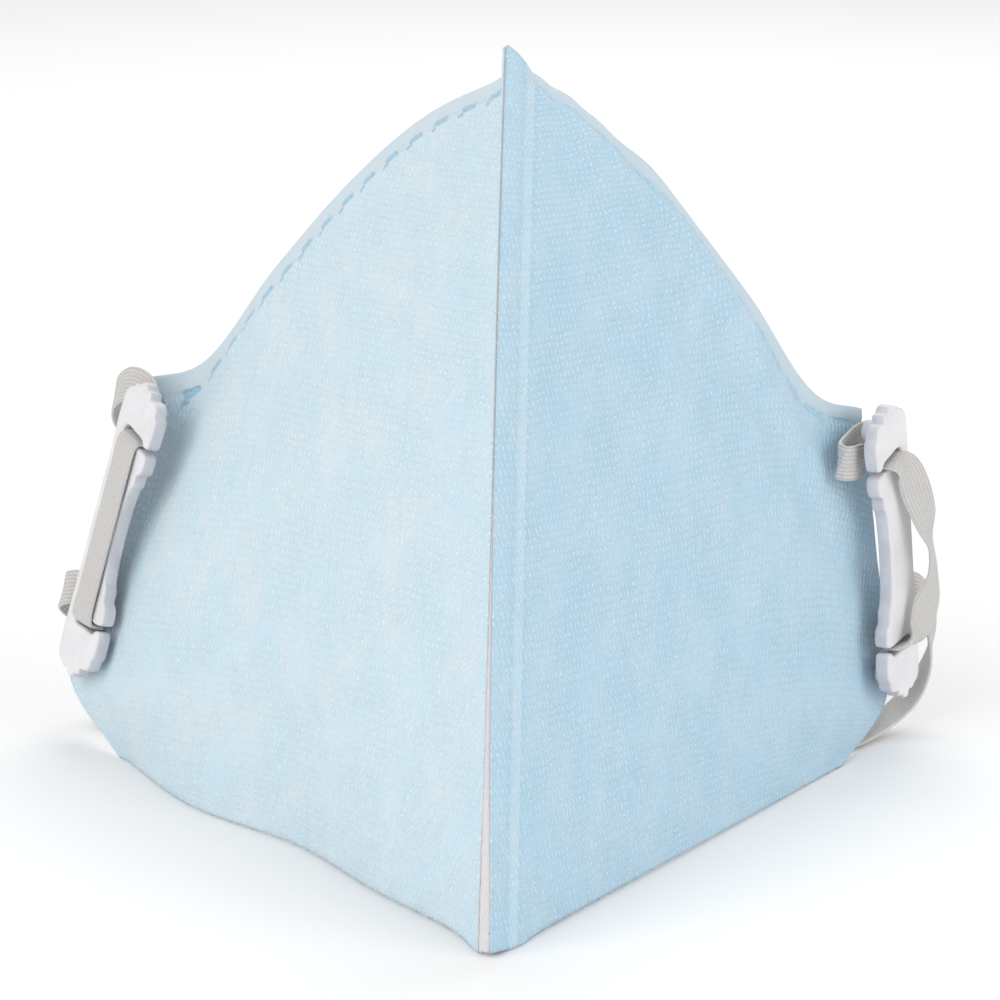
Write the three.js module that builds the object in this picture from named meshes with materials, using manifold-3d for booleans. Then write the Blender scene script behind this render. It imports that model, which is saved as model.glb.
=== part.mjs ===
// Folding respirator mask with a vertical centre seam, standing open on its lower edges.
// Millimetres, +Z up, the seam faces -Y, and left and right are as seen from the front.
import * as THREE from 'three';
import { mergeVertices } from 'three/addons/utils/BufferGeometryUtils.js';
import Module from 'manifold-3d';

const wasm = await Module();
wasm.setup();

// Driving dimensions of the cloth.
const WALL = 1.6;
const FLANGE = 0.8;
const CORE = 0.8;
const CORE_DEPTH = 2.2;
const GAP = 0.3;
const FIN = 5.6;
const FIN_LEAN = THREE.MathUtils.degToRad(35);
const FIN_BASE = 1;
const FIN_TOP_SHARE = 0.007;

// The seam is an arc in its own plane: chord, slope of the chord and the angle it turns through.
const SEAM_CHORD = 160;
const SEAM_SLOPE = THREE.MathUtils.degToRad(52.7);
const SEAM_TURN = THREE.MathUtils.degToRad(52);
const BELLY = 1.5;

// Where the seam's foot lies in the part's frame, which puts the box's middle at the origin.
const FOOT = new THREE.Vector3(5, -60.7, 0);

// Where each panel's outline turns, from the seam's foot: out from the seam, back and up.
const SIDES = {
  left: {
    sign: -1,
    corner: [71, 95, 0],
    tabFoot: [83.5, 118.5, 11.5],
    tabTop: [69.5, 122.5, 65.5],
    knee: [59.5, 124, 68],
    hemSwell: 4,
    topRise: 8,
  },
  right: {
    sign: 1,
    corner: [59.5, 99, 0],
    tabFoot: [69.5, 124.5, 8],
    tabTop: [63, 122.5, 62],
    knee: [54.5, 117, 65.5],
    hemSwell: 0,
    topRise: 6,
  },
};

// Moulded strap buckles.
const PLATE_THICK = 2.8;
const PLATE_BEVEL = 0.5;
const POST_RADIUS = 2;
const POST_ACROSS = 7.5;
const POST_REACH = 23.6;
const POST_SINK = 1;
const POST_FACETS = 12;
const BUCKLES = {
  left: { side: SIDES.left, turn: 34, standTop: 2, standFoot: 2, slide: 2.2, along: 1, post: 0.5 },
  right: { side: SIDES.right, turn: 29, standTop: 5, standFoot: 3, slide: -2.5, along: 1.2, post: 2 },
};

// Flat elastic, and the way it runs: points, each with the way the band's flat side faces there.
const BAND_WIDTH = 6.5;
const BAND_THICK = 0.9;
const BAND_CORNER = 0.3;
const BAND_EDGE = 0.36;
const BAND_STEPS = 3;

// Over each buckle's face, in the buckle's frame: across the plate, up it and out of it.
const LACING_ROUTES = {
  left: [
    { at: [6.6, 18.0, 0.3], face: [0.2, 0.98, 0] },
    { at: [6.6, 18.0, 1.6], face: [0.2, 0.98, 0] },
    { at: [6.6, 17.7, 2.9], face: [0.15, 0.8, 0.5] },
    { at: [6.6, 16.6, 3.5], face: [0.05, 0.3, 0.95] },
    { at: [6.6, 12.0, 3.6], face: [0, 0, 1] },
    { at: [6.6, 4.0, 3.6], face: [0, 0, 1] },
    { at: [6.6, -4.0, 3.6], face: [0, 0, 1] },
    { at: [6.6, -12.0, 3.6], face: [0, 0, 1] },
    { at: [6.6, -16.4, 3.5], face: [0.05, -0.3, 0.95] },
    { at: [6.6, -17.5, 2.9], face: [0.03, -0.8, 0.5] },
    { at: [6.6, -17.8, 1.6], face: [0.03, -1, 0] },
    { at: [6.6, -17.8, 0.3], face: [0.03, -1, 0] },
  ],
  right: [
    { at: [6.6, 18.0, 0.3], face: [0.2, 0.98, 0] },
    { at: [6.6, 18.0, 1.8], face: [0.2, 0.98, 0] },
    { at: [6.4, 17.9, 3.6], face: [0.2, 0.9, 0.25] },
    { at: [5.2, 16.2, 4.9], face: [0.4, 0.4, 0.8] },
    { at: [3.4, 11.4, 5.6], face: [0.5, 0, 0.85] },
    { at: [1.4, 5.8, 6.2], face: [0.2, 0, 1] },
    { at: [0, 0, 6.4], face: [-0.4, 0, 0.9] },
    { at: [-0.1, -5.6, 6.4], face: [-0.2, 0, 1] },
    { at: [1.6, -11.0, 5.6], face: [0.4, -0.1, 0.9] },
    { at: [4.2, -15.6, 4.9], face: [0.4, -0.4, 0.8] },
    { at: [6.4, -17.6, 3.5], face: [0.08, -0.9, 0.25] },
    { at: [6.6, -17.8, 1.8], face: [0.03, -1, 0] },
    { at: [6.6, -17.8, 0.3], face: [0.03, -1, 0] },
  ],
};

// The two head loops, from the left buckle to the right one, in the mask's frame.
const STRAP_ROUTES = {
  upper: [
    { at: [-68.1, 114.0, 56.3], face: [-0.7, -0.45, 0.5] },
    { at: [-67.6, 114.6, 57.5], face: [-0.8, -0.5, 0.3] },
    { at: [-67.9, 115.6, 58.1], face: [-0.8, -0.54, 0.25] },
    { at: [-67.9, 117.3, 61.6], face: [-0.8, -0.54, 0.25] },
    { at: [-69.1, 119.3, 64.0], face: [-0.8, -0.5, 0.25] },
    { at: [-72.0, 121.7, 64.7], face: [-0.85, -0.4, 0.2] },
    { at: [-74.7, 123.9, 62.7], face: [-0.95, -0.1, 0.1] },
    { at: [-74.6, 126.7, 58.9], face: [-0.9, 0.4, 0] },
    { at: [-70.6, 129.6, 53.0], face: [-0.6, 0.8, 0] },
    { at: [-66.0, 131.5, 42.0], face: [-0.7, 0.7, -0.1] },
    { at: [-58.0, 132.8, 27.0], face: [-0.9, 0.3, -0.3] },
    { at: [-47.0, 133.6, 12.5], face: [-0.6, 0.1, -0.75] },
    { at: [-34.0, 134.0, 3.4], face: [-0.2, 0, -0.97] },
    { at: [-18.0, 134.5, 0.8], face: [0, 0, -1] },
    { at: [0, 134.8, 0.7], face: [0, 0, -1] },
    { at: [18.0, 134.5, 0.8], face: [0, 0, -1] },
    { at: [33.0, 134.0, 3.6], face: [0.2, 0, -0.97] },
    { at: [45.0, 133.6, 12.5], face: [0.6, 0.1, -0.75] },
    { at: [54.0, 132.8, 26.0], face: [0.9, 0.3, -0.3] },
    { at: [61.0, 131.8, 40.0], face: [0.7, 0.7, -0.1] },
    { at: [65.0, 130.0, 50.5], face: [0.7, 0.7, 0] },
    { at: [66.6, 126.9, 55.0], face: [1, 0.1, 0] },
    { at: [65.3, 123.5, 56.4], face: [0.9, -0.4, 0] },
    { at: [62.5, 120.4, 56.6], face: [0.87, -0.48, 0] },
    { at: [60.3, 117.0, 55.6], face: [0.87, -0.48, 0] },
    { at: [58.7, 113.1, 54.8], face: [0.9, -0.3, 0] },
    { at: [59.0, 111.2, 54.3], face: [0.2, 1, 0] },
    { at: [60.8, 112.1, 54.1], face: [-0.8, 0.6, 0] },
    { at: [62.2, 114.8, 53.8], face: [-0.87, 0.48, 0] },
    { at: [63.6, 117.6, 53.5], face: [-0.87, 0.48, 0.15] },
  ],
  lower: [
    { at: [-77.0, 111.7, 21.3], face: [-0.75, -0.5, 0.4] },
    { at: [-77.4, 113.2, 21.7], face: [-0.8, -0.54, 0.25] },
    { at: [-78.7, 115.8, 23.3], face: [-0.8, -0.54, 0.25] },
    { at: [-80.4, 118.9, 26.0], face: [-0.8, -0.54, 0.25] },
    { at: [-84.1, 120.3, 25.9], face: [-0.9, -0.3, 0.2] },
    { at: [-84.6, 123.2, 23.7], face: [-0.9, 0.4, 0.1] },
    { at: [-81.2, 125.8, 19.0], face: [-0.8, 0.5, 0] },
    { at: [-79.4, 124.6, 11.5], face: [-0.8, 0.5, -0.2] },
    { at: [-76.0, 120.8, 5.0], face: [-0.6, 0.5, -0.6] },
    { at: [-70.0, 114.6, 1.6], face: [-0.2, 0.2, -0.95] },
    { at: [-61.5, 106.6, 0.8], face: [0, 0, -1] },
    { at: [-49.5, 96.6, 0.7], face: [0, 0, -1] },
    { at: [-34.5, 86.8, 0.7], face: [0, 0, -1] },
    { at: [-18.0, 80.6, 0.7], face: [0, 0, -1] },
    { at: [-1.0, 78.6, 0.7], face: [0, 0, -1] },
    { at: [16.0, 80.8, 0.7], face: [0, 0, -1] },
    { at: [32.0, 87.2, 0.7], face: [0, 0, -1] },
    { at: [45.0, 96.4, 0.7], face: [0, 0, -1] },
    { at: [55.5, 106.6, 0.7], face: [0, 0, -1] },
    { at: [62.6, 114.2, 0.9], face: [0.1, 0.1, -0.98] },
    { at: [68.4, 120.4, 2.4], face: [0.5, 0.4, -0.75] },
    { at: [73.6, 124.8, 6.0], face: [0.75, 0.5, -0.5] },
    { at: [76.8, 127.8, 11.2], face: [0.9, 0.2, -0.2] },
    { at: [77.9, 129.2, 17.4], face: [0.95, -0.25, 0] },
    { at: [76.9, 129.4, 23.4], face: [0.9, -0.4, 0.1] },
    { at: [73.7, 127.8, 26.4], face: [0.87, -0.48, 0.1] },
    { at: [71.0, 124.9, 24.0], face: [0.87, -0.48, 0.05] },
    { at: [69.3, 122.0, 20.5], face: [0.87, -0.48, 0.05] },
    { at: [68.3, 120.0, 18.3], face: [0.8, -0.45, 0.3] },
  ],
};

// Grid of each panel.
const COLUMNS = 20;
const FIN_COLUMNS = 2;
const ROWS = 22;
const SAME_POINT = 1e-4;

const CLOTH_BLUE = 0xcfe6f2;
const CORE_WHITE = 0xf4f1f0;
const PLASTIC_WHITE = 0xf0eff3;
const ELASTIC_GREY = 0xb9b6b4;

function seamAngle(v) {
  return SEAM_SLOPE + SEAM_TURN * (0.5 - v);
}

function seamPoint(v) {
  const radius = SEAM_CHORD / (2 * Math.sin(SEAM_TURN / 2));
  const start = seamAngle(0);
  const angle = seamAngle(v);
  const y = radius * (Math.sin(start) - Math.sin(angle));
  const z = radius * (Math.cos(angle) - Math.cos(start));
  return new THREE.Vector3(0, y, z);
}

function finDirection(v) {
  const angle = seamAngle(v);
  const forward = new THREE.Vector3(0, -Math.sin(angle), Math.cos(angle));
  return forward.multiplyScalar(Math.cos(FIN_LEAN)).add(new THREE.Vector3(-Math.sin(FIN_LEAN), 0, 0));
}

function finSideways(v) {
  const angle = seamAngle(v);
  const along = new THREE.Vector3(0, Math.cos(angle), Math.sin(angle));
  return new THREE.Vector3().crossVectors(along, finDirection(v)).normalize();
}

function place(side, point) {
  return new THREE.Vector3(side.sign * point[0], point[1], point[2]);
}

// Edges of one panel's outer face, each a curve with getPointAt from 0 to 1.
function rootPoint(side, v) {
  const point = seamPoint(v);
  point.x = side.sign * (CORE / 2 + GAP + FLANGE);
  return point;
}

function hemCurve(side) {
  const start = rootPoint(side, 0);
  const end = place(side, side.corner);
  const run = new THREE.Vector3().subVectors(end, start);
  const outward = new THREE.Vector3(run.y, -run.x, 0).normalize().multiplyScalar(side.sign);
  const points = [0, 0.25, 0.5, 0.75, 1].map((t) => {
    const swell = side.hemSwell * Math.sin(2 * Math.PI * t) ** 2 * (t < 0.5 ? 0.5 : 1);
    return start.clone().addScaledVector(run, t).addScaledVector(outward, swell);
  });
  return new THREE.CatmullRomCurve3(points);
}

function topCurve(side) {
  const start = rootPoint(side, 1);
  const knee = place(side, side.knee);
  const points = [0, 0.25, 0.5, 0.75, 1].map((t) => {
    const point = start.clone().lerp(knee, t);
    point.z += side.topRise * Math.sin(Math.PI * t ** 0.85);
    return point;
  });
  points.push(place(side, side.tabTop));
  return new THREE.CatmullRomCurve3(points);
}

function sideCurve(side) {
  const foot = place(side, side.tabFoot);
  const top = place(side, side.tabTop);
  return new THREE.CatmullRomCurve3([place(side, side.corner), foot, foot.clone().lerp(top, 0.5), top]);
}

// A Coons patch between the four edges, with a slight belly.
function faceMaker(side) {
  const hem = hemCurve(side);
  const top = topCurve(side);
  const edge = sideCurve(side);
  const corners = [rootPoint(side, 0), hem.getPointAt(1), rootPoint(side, 1), top.getPointAt(1)];
  return (t, v) => {
    const point = rootPoint(side, v).multiplyScalar(1 - t);
    point.addScaledVector(edge.getPointAt(v), t);
    point.addScaledVector(hem.getPointAt(t), 1 - v);
    point.addScaledVector(top.getPointAt(t), v);
    point.addScaledVector(corners[0], -(1 - t) * (1 - v));
    point.addScaledVector(corners[1], -t * (1 - v));
    point.addScaledVector(corners[2], -(1 - t) * v);
    point.addScaledVector(corners[3], -t * v);
    const swell = BELLY * Math.sin(Math.PI * t) * Math.sin(Math.PI * v);
    point.x += side.sign * swell;
    point.y -= swell;
    return point;
  };
}

function inwardNormal(side, face, t, v) {
  const step = 0.01;
  const low = (value) => Math.max(value - step, 0);
  const high = (value) => Math.min(value + step, 1);
  const across = face(high(t), v).sub(face(low(t), v));
  const up = face(t, high(v)).sub(face(t, low(v)));
  return across.cross(up).normalize().multiplyScalar(-side.sign);
}

// A point of the fin: column 0 is its free edge and column 1 its base, and offset is from its middle plane.
function finPoint(column, v, offset) {
  const foot = column === 0 ? seamPoint(v * (1 + FIN_TOP_SHARE)) : seamPoint(v);
  const height = column === 0 ? FIN : FIN_BASE;
  return foot.addScaledVector(finDirection(v), height).addScaledVector(finSideways(v), offset);
}

// A point behind the seam, inside the mask.
function behindSeam(v, x, depth) {
  const angle = seamAngle(v);
  const point = seamPoint(v);
  return point.add(new THREE.Vector3(x, depth * Math.sin(angle), -depth * Math.cos(angle)));
}

function panelPoint(side, face, column, v, outer) {
  if (column < FIN_COLUMNS) {
    return finPoint(column, v, side.sign * (CORE / 2 + GAP + (outer ? FLANGE : 0)));
  }
  const t = (column - FIN_COLUMNS) / (COLUMNS - FIN_COLUMNS);
  if (t === 0 && !outer) {
    return behindSeam(v, side.sign * (CORE / 2 + GAP), WALL);
  }
  const point = face(t, v);
  return outer ? point : point.addScaledVector(inwardNormal(side, face, t, v), WALL);
}

function bareGeometry(geometry) {
  geometry.deleteAttribute('normal');
  geometry.deleteAttribute('uv');
  return mergeVertices(geometry, SAME_POINT);
}

// A fine block whose corners are moved to where the wall's points belong.
function bentBlock(columns, rows, mapPoint, flip) {
  const block = bareGeometry(new THREE.BoxGeometry(1, 1, 1, columns, rows, 1));
  const position = block.getAttribute('position');
  for (let index = 0; index < position.count; index += 1) {
    const column = Math.round((position.getX(index) + 0.5) * columns);
    const v = position.getY(index) + 0.5;
    const point = mapPoint(column, v, position.getZ(index) > 0);
    position.setXYZ(index, point.x, point.y, Math.max(point.z, 0));
  }
  if (flip) {
    block.index.array.reverse();
  }
  block.computeVertexNormals();
  return block;
}

function makeMesh(name, geometry, color, roughness) {
  const material = new THREE.MeshStandardMaterial({ color, roughness, metalness: 0 });
  const mesh = new THREE.Mesh(geometry, material);
  mesh.name = name;
  return mesh;
}

function makePanel(name, side) {
  const face = faceMaker(side);
  const mapPoint = (column, v, outer) => panelPoint(side, face, column, v, outer);
  return makeMesh(`${name}_panel`, bentBlock(COLUMNS, ROWS, mapPoint, side.sign < 0), CLOTH_BLUE, 0.9);
}

// The welded inner layers between the two flanges, seen as a white line on the fin's edge.
function makeSeamCore() {
  const mapPoint = (column, v, right) => {
    const sideways = (right ? 0.5 : -0.5) * CORE;
    return column < FIN_COLUMNS ? finPoint(column, v, sideways) : behindSeam(v, sideways, CORE_DEPTH);
  };
  return makeMesh('seam_core', bentBlock(FIN_COLUMNS, ROWS, mapPoint, false), CORE_WHITE, 0.85);
}

// Outline of a strap buckle: across from its straight outer edge, and along it.
function plateShape() {
  const cap = [
    [0, 25.5], [2.2, 27.2], [4.6, 27.6], [6, 28.4], [8.2, 27.6], [9.4, 26], [11.8, 25.2], [13, 23], [13.2, 20.5],
  ];
  const upper = [
    [0, 0], ...cap, [13, 17.9], [12.5, 17.2], [10.8, 17.6], [10.3, 18.2], [3.4, 19.6], [2.9, 17.8],
    [12.3, 16.1], [12.9, 15.2], [12.6, 12.6], [11.2, 11.8], [10.9, 9.2], [9.9, 8.2], [9.4, 0],
  ];
  const lower = [
    [9.9, -8.2], [10.9, -9.2], [11.2, -12.4], [12.6, -13.2], [12.9, -15.8], [12.3, -16.9], [2.9, -16.7],
    [3.4, -18.6], [10.3, -18.8], [10.8, -18.3], [12.5, -17.8], [13, -18.4],
    ...cap.map(([across, along]) => [across, -along]).reverse(),
  ];
  const outline = [...upper, ...lower].map(([across, along]) => new THREE.Vector2(across, along));
  return new THREE.Shape(outline.reverse());
}

function toManifold(geometry) {
  const bare = bareGeometry(geometry);
  return new wasm.Manifold(new wasm.Mesh({
    numProp: 3,
    vertProperties: new Float32Array(bare.getAttribute('position').array),
    triVerts: new Uint32Array(bare.index.array),
  }));
}

function fromManifold(solid) {
  const mesh = solid.getMesh();
  const geometry = new THREE.BufferGeometry();
  geometry.setAttribute('position', new THREE.BufferAttribute(mesh.vertProperties, 3));
  geometry.setIndex(new THREE.BufferAttribute(mesh.triVerts, 1));
  geometry.computeVertexNormals();
  return geometry;
}

function plateGeometry(reach) {
  const body = new THREE.ExtrudeGeometry(plateShape(), {
    depth: PLATE_THICK - 2 * PLATE_BEVEL,
    bevelThickness: PLATE_BEVEL,
    bevelSize: PLATE_BEVEL,
    bevelOffset: -PLATE_BEVEL,
    bevelSegments: 1,
    steps: 1,
  });
  body.translate(0, 0, PLATE_BEVEL);
  let solid = toManifold(body);
  for (const along of [-POST_REACH, POST_REACH]) {
    const post = new THREE.CylinderGeometry(POST_RADIUS, POST_RADIUS, reach + POST_SINK, POST_FACETS);
    post.rotateX(Math.PI / 2).translate(POST_ACROSS, along, (POST_SINK - reach) / 2);
    solid = solid.add(toManifold(post));
  }
  return fromManifold(solid);
}

function buckleFrame(buckle) {
  const { side, turn, standTop, standFoot, slide, along } = buckle;
  const angle = THREE.MathUtils.degToRad(turn);
  const inward = new THREE.Vector3(-side.sign * Math.sin(angle), -Math.cos(angle), 0);
  const away = new THREE.Vector3(side.sign * Math.cos(angle), -Math.sin(angle), 0);
  const foot = place(side, side.tabFoot).addScaledVector(away, standFoot);
  const top = place(side, side.tabTop).addScaledVector(away, standTop);
  const up = new THREE.Vector3().subVectors(top, foot).normalize();
  const across = inward.addScaledVector(up, -inward.dot(up)).normalize();
  const outward = new THREE.Vector3().crossVectors(across, up).multiplyScalar(-side.sign);
  const middle = foot.lerp(top, 0.5).addScaledVector(across, slide).addScaledVector(up, along);
  return { across, up, outward, middle };
}

function makeBuckle(name, buckle) {
  const geometry = plateGeometry(buckle.post);
  const { across, up, outward, middle } = buckleFrame(buckle);
  const basis = new THREE.Matrix4().makeBasis(across, up, outward).setPosition(middle);
  geometry.applyMatrix4(basis);
  if (basis.determinant() < 0) {
    geometry.index.array.reverse();
  }
  geometry.computeVertexNormals();
  return makeMesh(`${name}_buckle`, geometry, PLASTIC_WHITE, 0.45);
}

// A curve whose frames keep the band's flat side facing the way that the route says.
class BandCurve extends THREE.CatmullRomCurve3 {
  constructor(route) {
    super(route.map(({ at }) => new THREE.Vector3(...at)));
    this.faces = new THREE.CatmullRomCurve3(route.map(({ face }) => new THREE.Vector3(...face)));
  }

  getUtoTmapping(u) {
    return u;
  }

  computeFrenetFrames(segments) {
    const frames = { tangents: [], normals: [], binormals: [] };
    for (let index = 0; index <= segments; index += 1) {
      const u = index / segments;
      const tangent = this.getTangent(u);
      const across = this.faces.getPoint(u).cross(tangent).normalize();
      frames.tangents.push(tangent);
      frames.normals.push(across);
      frames.binormals.push(new THREE.Vector3().crossVectors(tangent, across));
    }
    return frames;
  }
}

function bandSection() {
  const [half, flat] = [BAND_WIDTH / 2, BAND_WIDTH / 2 - BAND_CORNER];
  const [edge, thin] = [BAND_EDGE / 2, BAND_THICK / 2];
  const quarter = [[half, edge], [flat, thin], [-flat, thin], [-half, edge]];
  const rest = quarter.map(([x, y]) => [-x, -y]);
  return new THREE.Shape([...quarter, ...rest].map(([x, y]) => new THREE.Vector2(x, y)));
}

function makeBand(name, route) {
  const extrudePath = new BandCurve(route);
  const steps = BAND_STEPS * (route.length - 1);
  const geometry = new THREE.ExtrudeGeometry(bandSection(), { extrudePath, steps });
  return makeMesh(name, bareGeometry(geometry), ELASTIC_GREY, 0.8);
}

function makeLacing(name, buckle) {
  const { across, up, outward, middle } = buckleFrame(buckle);
  const turned = ([x, y, z]) => new THREE.Vector3()
    .addScaledVector(across, x)
    .addScaledVector(up, y)
    .addScaledVector(outward, z);
  const route = LACING_ROUTES[name].map(({ at, face }) => (
    { at: turned(at).add(middle).toArray(), face: turned(face).toArray() }
  ));
  return makeBand(`${name}_lacing`, route);
}

const mask = new THREE.Group();
mask.position.copy(FOOT);
mask.add(makePanel('left', SIDES.left), makePanel('right', SIDES.right), makeSeamCore());
mask.add(makeBuckle('left', BUCKLES.left), makeBuckle('right', BUCKLES.right));
mask.add(makeLacing('left', BUCKLES.left), makeLacing('right', BUCKLES.right));
mask.add(makeBand('upper_strap', STRAP_ROUTES.upper), makeBand('lower_strap', STRAP_ROUTES.lower));

const object = new THREE.Group();
object.add(mask);

export default object;
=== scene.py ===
"""Folding respirator mask: two embossed nonwoven panels on a raised centre seam, strap buckles and elastic.

Everything is in metres in the part's frame: +X to the wearer's left, +Y back into the hollow, +Z up.
"""

import logging
import math
from dataclasses import dataclass, field
from enum import Enum
from typing import Callable, Sequence

import bmesh
import bpy
import numpy as np
from mathutils import Matrix, Vector, noise
from mathutils.kdtree import KDTree


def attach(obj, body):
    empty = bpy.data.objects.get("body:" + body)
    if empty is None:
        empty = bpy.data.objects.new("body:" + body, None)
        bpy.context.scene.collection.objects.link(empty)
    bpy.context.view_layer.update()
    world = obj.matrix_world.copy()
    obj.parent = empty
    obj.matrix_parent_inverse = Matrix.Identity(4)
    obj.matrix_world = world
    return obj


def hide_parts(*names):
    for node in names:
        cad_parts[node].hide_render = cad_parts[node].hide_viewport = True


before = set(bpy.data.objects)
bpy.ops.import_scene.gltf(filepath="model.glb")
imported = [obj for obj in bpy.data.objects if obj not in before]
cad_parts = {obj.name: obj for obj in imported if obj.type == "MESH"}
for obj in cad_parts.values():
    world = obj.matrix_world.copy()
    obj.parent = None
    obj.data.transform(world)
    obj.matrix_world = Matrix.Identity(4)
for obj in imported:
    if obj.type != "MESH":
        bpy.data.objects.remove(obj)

LOG = logging.getLogger("respirator_mask")
MM = 0.001
FOOT = Vector((5, -60.7, 0)) * MM
BODY = "root"

Row = tuple[tuple[float, float, float], tuple[float, float, float]]


class Side(Enum):
    """The two halves of the mask, as seen from the front."""

    LEFT = -1
    RIGHT = 1

    @property
    def word(self) -> str:
        """The half's name in lower case."""
        return self.name.lower()


class Slot(Enum):
    """The record's material slots."""

    CLOTH = "cloth"
    CORE = "core"
    PLASTIC = "plastic"
    ELASTIC = "elastic"


# ---------------------------------------------------------------- shapes in general


def smooth_points(points: Sequence[Vector], per_span: int, closed: bool = False) -> list[Vector]:
    """Runs a centripetal Catmull-Rom curve through points.

    Args:
        points: the points that the curve passes through.
        per_span: the steps between one point and the next.
        closed: whether the curve returns to its first point.

    Returns:
        The curve's points, the last one included only on an open curve.
    """
    count = len(points)
    if closed:
        padded = [points[-1], *points, points[0], points[1]]
        spans = count
    else:
        padded = [2 * points[0] - points[1], *points, 2 * points[-1] - points[-2]]
        spans = count - 1
    line: list[Vector] = []
    for span in range(spans):
        a, b, c, d = padded[span:span + 4]
        ab, bc, cd = (max((q - p).length, 1e-9) ** 0.5 for p, q in ((a, b), (b, c), (c, d)))
        leave = ((b - a) / ab - (c - a) / (ab + bc) + (c - b) / bc) * bc
        arrive = ((c - b) / bc - (d - b) / (bc + cd) + (d - c) / cd) * bc
        for step in range(per_span):
            s = step / per_span
            line.append(
                b * (2 * s**3 - 3 * s**2 + 1) + leave * (s**3 - 2 * s**2 + s)
                + c * (3 * s**2 - 2 * s**3) + arrive * (s**3 - s**2)
            )
    if not closed:
        line.append(points[-1].copy())
    return line


class Edge:
    """A curve that is read by its share of the length."""

    def __init__(self, points: Sequence[Vector]) -> None:
        """Keeps the curve's points and how far along it each one lies."""
        self.points = np.array(smooth_points(points, 60))
        steps = np.linalg.norm(np.diff(self.points, axis=0), axis=1)
        self.along = np.concatenate([[0.0], np.cumsum(steps)])

    def at(self, shares: np.ndarray) -> np.ndarray:
        """Gives the points at these shares of the length."""
        wanted = np.asarray(shares) * self.along[-1]
        return np.stack([np.interp(wanted, self.along, self.points[:, k]) for k in range(3)], axis=-1)

    def nearest(self, points: np.ndarray) -> tuple[np.ndarray, np.ndarray]:
        """Finds how far points lie from the curve.

        Args:
            points: an array of points, three numbers each.

        Returns:
            Each point's distance from the curve, and how far along the curve that is.
        """
        tree = KDTree(len(self.points))
        for index, point in enumerate(self.points):
            tree.insert(Vector(point), index)
        tree.balance()
        found = [tree.find(Vector(point)) for point in points]
        return np.array([f[2] for f in found]), np.array([self.along[f[1]] for f in found])


def unit(rows: np.ndarray) -> np.ndarray:
    """Gives rows the length of one."""
    return rows / np.maximum(np.linalg.norm(rows, axis=-1, keepdims=True), 1e-12)


def rise(x: np.ndarray, low: float, high: float) -> np.ndarray:
    """A smooth step from 0 at low to 1 at high."""
    s = np.clip((x - low) / (high - low), 0.0, 1.0)
    return s * s * (3 - 2 * s)


def add_object(name: str, shape: bmesh.types.BMesh, smooth: bool = True) -> bpy.types.Object:
    """Makes an object of a finished bmesh and puts it in the scene.

    Args:
        name: the object's name.
        shape: its mesh, in the part's frame, which is freed.
        smooth: whether its faces are smooth-shaded.

    Returns:
        The object, at the origin.
    """
    mesh = bpy.data.meshes.new(name)
    if smooth:
        for face in shape.faces:
            face.smooth = True
    shape.to_mesh(mesh)
    shape.free()
    made = bpy.data.objects.new(name, mesh)
    bpy.context.scene.collection.objects.link(made)
    return made


def store(mesh: bpy.types.Mesh, name: str, values: np.ndarray) -> None:
    """Keeps one number for each of a mesh's vertices under that name."""
    mesh.attributes.new(name, "FLOAT", "POINT").data.foreach_set("value", values.astype(np.float32))


def moved_grid(places: np.ndarray, chart: np.ndarray, wraps: bool) -> tuple[bmesh.types.BMesh, dict]:
    """Makes a grid and moves its vertices to their places.

    Args:
        places: columns by rows by three, in metres.
        chart: columns by rows by two, the flat cloth's own coordinates in millimetres.
        wraps: whether one more row of faces leads from the last row back to the first.

    Returns:
        The grid, with the chart as its map, and each vertex's column and row.
    """
    columns, rows = places.shape[:2]
    spans = rows if wraps else rows - 1
    shape = bmesh.new()
    bmesh.ops.create_grid(shape, x_segments=columns - 1, y_segments=spans, size=0.5)
    layer = shape.loops.layers.uv.new("cloth")
    cells = {}
    for vertex in shape.verts:
        column = round((vertex.co.x + 0.5) * (columns - 1))
        row = round((vertex.co.y + 0.5) * spans) % rows
        cells[vertex] = (column, row)
        vertex.co = places[column, row]
    for face in shape.faces:
        for loop in face.loops:
            loop[layer].uv = chart[cells[loop.vert]]
    return shape, cells


def grid_mesh(name: str, places: np.ndarray, chart: np.ndarray, turned: bool) -> bpy.types.Object:
    """Makes a sheet from a grid.

    Args:
        name: the object's name.
        places: columns by rows by three, in metres.
        chart: the flat cloth's own coordinates in millimetres.
        turned: whether the faces are turned to look the other way.

    Returns:
        The object. Vertex number column * rows + row has that column and row.
    """
    shape, cells = moved_grid(places, chart, wraps=False)
    rows = places.shape[1]
    if turned:
        bmesh.ops.reverse_faces(shape, faces=shape.faces)
    shape.verts.sort(key=lambda vertex: cells[vertex][0] * rows + cells[vertex][1])
    return add_object(name, shape)


def tube_mesh(name: str, rings: np.ndarray, chart: np.ndarray) -> bpy.types.Object:
    """Makes a closed tube from a grid that is rolled up and capped.

    Args:
        name: the object's name.
        rings: one ring for each step along the tube, with its first point not repeated.
        chart: the same rings' coordinates across and along, in millimetres.

    Returns:
        The object.
    """
    shape, _ = moved_grid(rings, chart, wraps=True)
    bmesh.ops.remove_doubles(shape, verts=shape.verts, dist=1e-6)
    bmesh.ops.holes_fill(shape, edges=[e for e in shape.edges if e.is_boundary], sides=0)
    bmesh.ops.recalc_face_normals(shape, faces=shape.faces)
    return add_object(name, shape)


# ---------------------------------------------------------------- shader nodes


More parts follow.
